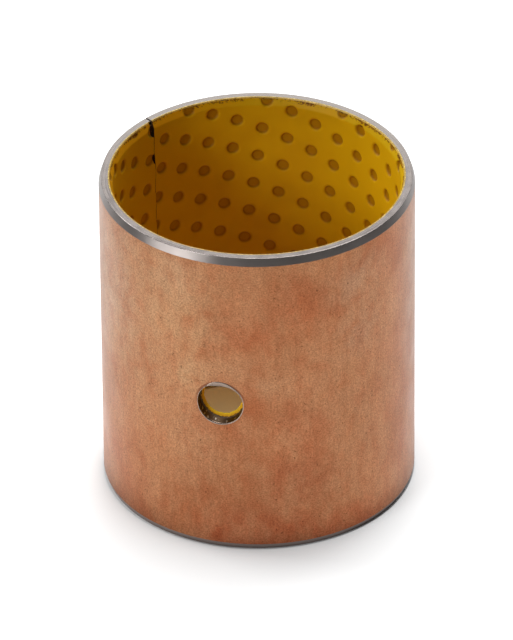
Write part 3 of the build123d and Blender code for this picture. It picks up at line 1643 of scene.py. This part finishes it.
@dataclass(frozen=True)
class PocketRows:
    """Round grease pockets rolled into the lining in slanting rows.

    A drop is a distance below the upper end. Mouth, floor, shoulder and the two
    limits of the dark colour are radii about a pocket's middle. The dark colour is
    partly the pocket's own and partly painted shade, deepest round the foot of the wall.
    """

    pitch: float = 4.755
    slope: float = 22.3
    row_pitch: float = 5.73
    lean: float = 8.2
    first_run: float = 2.80
    first_drop: float = 4.60
    mouth: float = 1.25
    floor: float = 0.84
    depth: float = 0.46
    dark_within: float = 0.98
    pale_beyond: float = 1.22
    floor_tint: float = 0.82
    shoulder: float = 1.62
    shoulder_depth: float = 0.075

    def steps(self) -> np.ndarray:
        """Work out the two steps of the slanted grid.

        Returns:
            The run and drop of one step along a row, and of one row down.
        """
        slope, lean = radians(self.slope), radians(self.lean)
        along = (self.pitch * cos(slope), self.pitch * sin(slope))
        down = (-self.row_pitch * sin(lean), self.row_pitch * cos(lean))
        return np.array([along, down])

    def from_centre(self, run: np.ndarray, drop: np.ndarray) -> np.ndarray:
        """Measure the distance from each place to the nearest pocket's middle.

        Args:
            run: Runs on the strip.
            drop: Distances below the upper end.

        Returns:
            The distances.
        """
        places = np.stack([run - self.first_run, drop - self.first_drop], axis=-1)
        steps = self.steps()
        nearest = np.floor(places @ np.linalg.inv(steps))
        corners = ((0, 0), (1, 0), (0, 1), (1, 1))
        offsets = [places - (nearest + corner) @ steps for corner in corners]
        return np.min([np.hypot(offset[..., 0], offset[..., 1]) for offset in offsets], axis=0)

    def centres(self, strip: float, length: float) -> np.ndarray:
        """List every pocket that touches the strip.

        Args:
            strip: Length of the strip.
            length: Height of the strip.

        Returns:
            The run and drop of each pocket's middle.
        """
        count = ceil((strip + length) / min(self.pitch, self.row_pitch))
        numbers = np.arange(-count, count + 1)
        grid = np.stack(np.meshgrid(numbers, numbers), axis=-1).reshape(-1, 2)
        places = grid @ self.steps() + (self.first_run, self.first_drop)
        touching = (places > -self.shoulder) & (places < np.array([strip, length]) + self.shoulder)
        return places[touching.all(axis=1)]

    def pocket_tone_and_shade(self, run: np.ndarray, drop: np.ndarray) -> np.ndarray:
        """Find how far the lining takes the darker colour of the pockets, in part as painted shade.

        Args:
            run: Runs on the strip.
            drop: Distances below the upper end.

        Returns:
            1 round the foot of each pocket's wall, less on its floor and 0 outside.
        """
        return np.interp(
            self.from_centre(run, drop),
            [self.floor / 2, self.floor, self.dark_within, self.pale_beyond],
            [self.floor_tint, (1 + self.floor_tint) / 2, 1, 0],
        )

    def sunk(self, run: np.ndarray, drop: np.ndarray) -> np.ndarray:
        """Find how deep the lining is pressed in.

        Args:
            run: Runs on the strip.
            drop: Distances below the upper end.

        Returns:
            The depth at each place, with the rolled shoulder round each pocket.
        """
        away = self.from_centre(run, drop)
        wall = np.clip((self.mouth - away) / (self.mouth - self.floor), 0, 1)
        roll = np.clip((self.shoulder - away) / (self.shoulder - self.mouth), 0, 1)
        wall, roll = wall**2 * (3 - 2 * wall), roll**2
        return (self.depth - self.shoulder_depth) * wall + self.shoulder_depth * roll


@dataclass
class AcetalLining(Layer):
    """Bearing lining with every pocket modelled, torn along its upper and lower edges.

    The face has rings of places at some radii round each pocket, rows along the
    crease at shares of its depth, and rows up the chamfer at shares of the way
    from the lining's edge. What starts with from says how far places stay away.
    The funnel gives shares of the way from the bronze to the face, and tints.
    """

    class Finish(IntEnum):
        """Finishes of the lining, in the order of its material slots."""

        FACE = 0
        CUT = 1
        TORN = 2

    chipped: bool = True
    edge_step: float = 0.15
    pockets: PocketRows = PocketRows()
    segments: int = 24
    ring_radii: tuple[float, ...] = (0.42, 0.80, 0.90, 1.00, 1.10, 1.20, 1.38, 1.62)
    crease_rows: tuple[float, ...] = (0.97, 1.03, 1.06)
    chamfer_rows: tuple[float, ...] = (0.12, 0.25, 0.4, 0.6, 0.8)
    background: float = 1.25
    from_pocket: float = 0.3
    from_hole: float = 0.15
    background_from_hole: float = 0.4
    from_end: float = 0.08
    from_rim: float = 0.03
    end_dent: float = 0.10
    rim_hold: float = 0.12
    pit_size: float = 0.45
    pit_seed: int = 11
    pit_level: float = 0.45
    pit_depth: float = 0.07
    pits_within: float = 0.22
    pits_fade: float = 0.2
    slope_step: float = 0.01
    funnel: Curve = ((0.0, 1.0), (0.25, 0.9), (0.5, 0.5), (1.0, 0.0))
    pits: Grain = field(init=False)
    low: float = field(init=False)
    high: float = field(init=False)

    def __post_init__(self) -> None:
        """Draw the pits along the rims, and find the lining's lower and upper edges."""
        sizes = self.sizes
        self.pits = Grain(self.pit_size, sizes.strip, sizes.length, self.pit_seed)
        self.low = self.ends.depth(sizes, sizes.bronze)
        self.high = sizes.length - self.low

    def radius(self, run: np.ndarray, height: np.ndarray) -> np.ndarray:
        """Return the radius of the lining's face at each place.

        The face is the bore or the inner chamfer, whichever is wider, with a
        soft crease between them. Towards the rim the dents and the pits die
        out, so that the lining's edge lies on the bronze.

        Args:
            run: Settled runs.
            height: Heights above the lower end.

        Returns:
            The radii.
        """
        sizes, ends = self.sizes, self.ends
        below = np.minimum(height, sizes.length - height)
        inside = np.clip((below - self.low) / self.rim_hold, 0, 1)
        sunk = self.pockets.sunk(run, sizes.length - height)
        bore = sizes.bore + sunk
        cut = ends.brink(sizes) - below * ends.slope(sizes)
        cut = cut + self.end_dent * inside * sunk / self.pockets.depth
        soft = np.clip(ends.crease - np.abs(bore - cut), 0, None) ** 2 / (4 * ends.crease)
        near_edge = np.clip((cut - sizes.bore - self.pits_within) / self.pits_fade, 0, 1)
        pits = np.clip(self.pits.at(run, height) - self.pit_level, 0, None) / (1 - self.pit_level)
        return np.maximum(bore, cut) + soft + self.pit_depth * inside * near_edge * pits

    def face_normals(self, run: np.ndarray, height: np.ndarray) -> np.ndarray:
        """Work out the directions that the lining's face looks in.

        Args:
            run: Settled runs.
            height: Heights above the lower end.

        Returns:
            One vector a row, of any length.
        """
        step = self.slope_step
        low, high = np.clip(height - step, self.low, None), np.clip(height + step, None, self.high)
        up = (self.radius(run, high) - self.radius(run, low)) / (high - low)
        along = (self.radius(run + step, height) - self.radius(run - step, height)) / (2 * step)
        slanted = along[:, None] * self.wrap.onward(run)
        return slanted - self.wrap.outward(run) + up[:, None] * (0, 0, 1)

    def pocket_places(self) -> np.ndarray:
        """Lay rings of places round and inside every pocket.

        Returns:
            One (run, height) a row.
        """
        turn = np.arange(self.segments) * (2 * pi / self.segments)
        circle = np.stack([np.cos(turn), np.sin(turn)], axis=-1)
        spots = np.concatenate([[(0, 0)], *(circle * radius for radius in self.ring_radii)])
        centres = self.mirrored(self.pockets.centres(self.sizes.strip, self.sizes.length))
        return (centres[:, None] + spots).reshape(-1, 2)

    def chamfer_places(self) -> np.ndarray:
        """Lay rows of places on both inner chamfers, closer than the rest.

        Returns:
            One (run, height) a row.
        """
        crease = self.ends.depth(self.sizes, self.sizes.bore)
        depths = [row * crease for row in self.crease_rows]
        depths += [self.low + (crease - self.low) * row for row in self.chamfer_rows]
        lower = np.concatenate([self.row(depth)[1:-1] for depth in depths])
        return np.concatenate([lower, self.mirrored(lower)])

    def background_places(self) -> np.ndarray:
        """Lay an even net of places between the pockets and the chamfers.

        Returns:
            One (run, height) a row.
        """
        step, sizes = self.background, self.sizes
        crease = self.ends.depth(sizes, sizes.bore) + step / 2
        run, height = np.meshgrid(
            spaced(step, sizes.strip - step, step), spaced(crease, sizes.length - crease, step)
        )
        run = run + (np.arange(len(run)) % 2)[:, None] * step / 2
        away = self.pockets.from_centre(run, sizes.length - height)
        clear = away > self.ring_radii[-1] + self.from_pocket
        return np.stack([run[clear], height[clear]], axis=-1)

    def kept(self, places: np.ndarray, from_hole: float) -> np.ndarray:
        """Drop the places that lie off the face or too close to its edges.

        Args:
            places: One (run, height) a row.
            from_hole: How far they stay from the hole.

        Returns:
            The places that are left.
        """
        run, height = places.T
        inside = (run > self.from_end) & (run < self.sizes.strip - self.from_end)
        inside &= (height > self.low + self.from_rim) & (height < self.high - self.from_rim)
        wear = self.wrap.wear
        across, up = wear.lean
        away = np.hypot(run - self.wrap.hole_run - across, height - self.sizes.hole_height - up)
        return places[inside & (away > wear.lining_radius(self.turn).max() + from_hole)]

    def build(self) -> bpy.types.Object:
        """Build the lining.

        Returns:
            The piece.
        """
        sizes, wrap, wear = self.sizes, self.wrap, self.wrap.wear
        ring = wrap.hole_ring(wear.lining_radius(self.turn), sizes.bore, self.turn, wear.lean)
        self.lay_face(ring)
        narrowed = wear.bronze_radius(self.turn)
        span = (self.low, self.high)
        self.plain_sheet(sizes.bronze, span, narrowed, self.Finish.FACE, outer=True)
        self.line_hole(wrap.hole_ring(narrowed, sizes.bronze, self.turn), ring)
        self.close_joint()
        hole = Vector(self.points(np.array([wrap.hole_run, sizes.hole_height]), sizes.bore))
        resin, torn = (finish.material(sizes, hole) for finish in (AcetalResin(), TornResin()))
        return self.shell.make("acetal_face", [resin, ShearedEdge().material(), torn])

    def lay_face(self, ring: np.ndarray) -> None:
        """Lay the face with its pockets, chamfers and pits.

        Args:
            ring: Places round the edge of the hole.
        """
        inner = [
            self.kept(self.pocket_places(), self.from_hole),
            self.kept(self.chamfer_places(), self.from_hole),
            self.kept(self.background_places(), self.background_from_hole),
        ]
        places, triangles = self.sheet_places((self.low, self.high), inner, ring)
        height = places[:, 1]
        run = self.wrap.settle(places[:, 0], height, self.chipped)
        points = self.wrap.place(run, height, self.radius(run, height))
        # Pocket colour, in part painted shade in the recesses
        dark = self.pockets.pocket_tone_and_shade(run, self.sizes.length - height)
        normals = self.face_normals(run, height)
        self.shell.add(points, triangles, self.Finish.FACE, normals, dark)

    def line_hole(self, outer: np.ndarray, inner: np.ndarray) -> None:
        """Line the hole, which narrows like a funnel.

        Args:
            outer: Places round the hole on the bronze.
            inner: Places round the hole in the lining's face.
        """
        face = self.radius(inner[:, 0], inner[:, 1])
        shares, tints = zip(*self.funnel)
        rows = []
        for share in shares:
            radius = self.sizes.bronze * (1 - share) + face * share
            rows.append(self.points(outer * (1 - share) + inner * share, radius))
        self.shell.net(np.stack(rows), self.Finish.TORN, tints, closed=True, flip=True)

    def close_joint(self) -> None:
        """Close the lining's two ends, with the pockets that they cut."""
        height = spaced(self.low, self.high, self.edge_step)
        for end, flip in ((0.0, False), (self.sizes.strip, True)):
            places = pairs(end, height)
            face = self.radius(self.wrap.settle(*places.T, self.chipped), height)
            rows = np.stack([self.points(places, face), self.points(places, self.sizes.bronze)])
            self.shell.net(rows, self.Finish.CUT, flip=flip)


# ---- Studio ------------------------------------------------------------------


@dataclass(frozen=True)
class Softbox:
    """A soft lamp that faces the bushing, with its distance and its sides in metres."""

    name: str
    angle: float
    elevation: float
    distance: float
    width: float
    height: float
    radiance: float

    def build(self, target: Vector) -> None:
        """Hang the lamp and aim it.

        Args:
            target: The point that it faces.
        """
        away = facing(self.angle, self.elevation)
        light = bpy.data.lights.new(self.name, "AREA")
        light.shape = "RECTANGLE"
        light.size, light.size_y = self.width, self.height
        light.energy = self.radiance * pi * self.width * self.height
        lamp = bpy.data.objects.new(self.name, light)
        lamp.location = target + away * self.distance
        lamp.rotation_euler = away.to_track_quat("Z", "Y").to_euler()
        lamp.visible_camera = False
        bpy.context.scene.collection.objects.link(lamp)


@dataclass(frozen=True)
class Surroundings:
    """Dim surroundings with a bright backdrop, whose limits are degrees from its middle."""

    ambient: float = 0.10
    backdrop: float = 0.92
    towards: Axes = (0.0, 0.866, 0.5)
    bright_within: float = 20.0
    dim_beyond: float = 55.0

    def build(self) -> None:
        """Light the surroundings, which look white where the table ends."""
        world = bpy.data.worlds.new("surroundings")
        bpy.context.scene.world = world
        wire = Wiring(world)
        direction = wire.node("ShaderNodeTexCoord").outputs["Generated"]
        middle = Vector(self.towards).normalized()
        nearness = wire.vectors("DOT_PRODUCT", direction, middle)["Value"]
        edges = cos(radians(self.dim_beyond)), cos(radians(self.bright_within))
        level = wire.ramp(nearness, *edges, self.ambient, self.backdrop)
        camera = wire.node("ShaderNodeLightPath").outputs["Is Camera Ray"]
        sky = wire.node("ShaderNodeBackground")
        wire.feed(sky.inputs["Color"], (1, 1, 1))
        wire.feed(sky.inputs["Strength"], wire.maths("MAXIMUM", level, camera))
        wire.finish("ShaderNodeOutputWorld", sky.outputs[0])


@dataclass(frozen=True)
class WhiteTable:
    """White table, which glows as a backdrop; its glow falls off round the bushing as a painted shadow,
    and inside the bore glows dim and yellow as painted bounce light.

    Its size is in metres, and the rest is in millimetres. Only what shows of the
    table glows: what looks straight at it, through it or, in part, by reflection.
    """

    size: float = 0.44
    colour: Colour = (0.846, 0.862, 0.870)
    glow: float = 0.684
    # Painted shadow: the glow falls off round this middle
    shade_middle: Axes = (-1.45, -0.75, 0.0)
    shade_from: float = 26.0
    shade_to: float = 43.8
    shade_curve: float = 0.315
    # Painted bounce light: inside the bore the table glows dim and yellow, deeper towards the back
    inner_glow: float = 0.157
    painted_bounce_colour: Colour = (1.0, 0.76, 0.39)
    painted_bounce_rear: Colour = (0.77, 0.45, 0.19)
    painted_light_to_rear: PaintedLightPassage = PaintedLightPassage((0, 1, 0), 13, 24)
    mirrored: float = 0.58
    mirrored_from: float = 110.0
    mirrored_to: float = 160.0
    mirrored_near: float = 0.38
    near_from: float = 0.5
    near_peak: float = 5.5
    near_to: float = 17.0

    def build(self, sizes: WallSizes) -> None:
        """Lay the table.

        Args:
            sizes: Sizes of the wall that stands on it.
        """
        half = self.size / 2
        corners = [(-half, -half, 0), (half, -half, 0), (half, half, 0), (-half, half, 0)]
        mesh = bpy.data.meshes.new("table")
        mesh.from_pydata(corners, [], [(0, 1, 2, 3)])
        mesh.materials.append(self.material(sizes))
        table = bpy.data.objects.new("table", mesh)
        bpy.context.scene.collection.objects.link(table)

    def material(self, sizes: WallSizes) -> bpy.types.Material:
        """Build the finish.

        Args:
            sizes: Sizes of the wall.

        Returns:
            The material.
        """
        wire = SurfaceWiring("white_table")
        radius = wire.radius()
        inside = wire.maths("LESS_THAN", radius, sizes.bore)
        # Painted bounce light and shade inside the bore
        inner = wire.blend(self.painted_light_to_rear.share(wire), self.painted_bounce_colour, self.painted_bounce_rear)
        glow = wire.maths(
            "ADD", self.outer_glow(wire, sizes), wire.product(inside, self.inner_glow)
        )
        emission = wire.node("ShaderNodeEmission")
        wire.feed(emission.inputs["Color"], wire.blend(inside, (1, 1, 1), inner))
        wire.feed(emission.inputs["Strength"], wire.product(self.seen(wire, radius, sizes), glow))
        matt = wire.node("ShaderNodeBsdfDiffuse")
        wire.feed(matt.inputs["Color"], self.colour)
        both = wire.fill(wire.node("ShaderNodeAddShader"), (emission.outputs[0], matt.outputs[0]))
        return wire.finish("ShaderNodeOutputMaterial", both[0])

    def outer_glow(self, wire: SurfaceWiring, sizes: WallSizes) -> Socket:
        """Let the table outside the bushing glow, less round it as a painted shadow.

        Args:
            wire: Nodes of the finish.
            sizes: Sizes of the wall.

        Returns:
            Strength of the glow.
        """
        away = wire.vectors("DISTANCE", wire.place, self.shade_middle)["Value"]
        rise = wire.ramp(away, self.shade_from, self.shade_to, slide=Slide.STRAIGHT)
        outside = wire.maths("GREATER_THAN", wire.radius(), sizes.outside)
        return wire.product(wire.maths("POWER", rise, self.shade_curve), outside, self.glow)

    def seen(self, wire: SurfaceWiring, radius: Feed, sizes: WallSizes) -> Socket:
        """Find how much of the glow a ray takes up.

        Args:
            wire: Nodes of the finish.
            radius: Radius of the place on the table.
            sizes: Sizes of the wall.

        Returns:
            1 for a look at the table, less for a reflection and 0 for its light.
        """
        rays = wire.node("ShaderNodeLightPath").outputs
        start, peak, end = (
            sizes.outside + ring for ring in (self.near_from, self.near_peak, self.near_to)
        )
        near = wire.ramp(radius, start, peak, 0, self.mirrored_near)
        near = wire.product(near, wire.ramp(radius, peak, end, 1, 0))
        far = wire.ramp(radius, self.mirrored_from, self.mirrored_to, self.mirrored, 0)
        mirrored = wire.product(rays["Is Glossy Ray"], wire.maths("ADD", far, near))
        looks = wire.maths("MAXIMUM", rays["Is Camera Ray"], rays["Is Transmission Ray"])
        return wire.maths("MAXIMUM", looks, mirrored)


@dataclass(frozen=True)
class Camera:
    """Camera in front of the bushing: places in metres, turns in radians, lens in mm."""

    back: float = 1.30164
    up: float = 0.878565
    pan: float = -0.0002
    pitch: float = 0.5778
    roll: float = -0.0086
    lens: float = 498.54
    sensor: float = 36.0

    def build(self) -> None:
        """Stand the camera up, looking down into the bore."""
        level = Vector((cos(self.pan), -sin(self.pan), 0))
        flat = cos(self.pitch)
        ahead = Vector((sin(self.pan) * flat, cos(self.pan) * flat, -sin(self.pitch)))
        rise = level.cross(ahead)
        right = cos(self.roll) * level + sin(self.roll) * rise
        above = cos(self.roll) * rise - sin(self.roll) * level
        lens = bpy.data.cameras.new("camera")
        lens.lens, lens.sensor_width = self.lens, self.sensor
        camera = bpy.data.objects.new("camera", lens)
        turned = Matrix((right, above, -ahead)).transposed().to_4x4()
        camera.matrix_world = Matrix.Translation((0, -self.back, self.up)) @ turned
        bpy.context.scene.collection.objects.link(camera)
        bpy.context.scene.camera = camera


@dataclass(frozen=True)
class Studio:
    """White table, dim surroundings, soft lamps and the camera."""

    table: WhiteTable = WhiteTable()
    surroundings: Surroundings = Surroundings()
    camera: Camera = Camera()
    softboxes: tuple[Softbox, ...] = (
        Softbox("key", -117, 35, 1.6, 0.74, 0.74, 5.3),
        Softbox("top_back", 161, 61, 1.6, 0.85, 0.85, 5.0),
        Softbox("front_left", -47, 26.5, 1.6, 0.55, 0.55, 7.5),
        Softbox("low_card", -57, -1.5, 1.4, 0.90, 0.16, 5.0),
    )

    def build(self, sizes: WallSizes) -> None:
        """Build the studio.

        Args:
            sizes: Sizes of the wall, whose middle the lamps face.
        """
        self.table.build(sizes)
        self.surroundings.build()
        for softbox in self.softboxes:
            softbox.build(Vector((0, 0, sizes.length / 2 * MM)))
        self.camera.build()


# ---- Assembly ----------------------------------------------------------------


def seat(piece: bpy.types.Object, node: str) -> None:
    """Seat a piece on the body in place of its node, and report it.

    Args:
        piece: The piece.
        node: Name of the frame's node.
    """
    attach(piece, BODY)
    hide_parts(node)
    log.info("%s replaces %s with %d triangles", piece.name, node, len(piece.data.polygons))


def main() -> None:
    """Dress the frame and light it."""
    logging.basicConfig(level=logging.INFO, format="%(name)s: %(message)s")
    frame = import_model()
    bpy.context.scene.view_settings.view_transform = "Standard"
    sizes = WallSizes.of(frame)
    wrap, ends = Wrap(sizes, ButtJoint(), HoleWear()), EndCut()
    seat(SteelBacking(wrap, ends).build(), "steel_backing")
    seat(BronzeInterlayer(wrap, ends).build(), "bronze_interlayer")
    seat(AcetalLining(wrap, ends).build(), "acetal_lining")
    Studio().build(sizes)


if __name__ == "__main__":
    main()
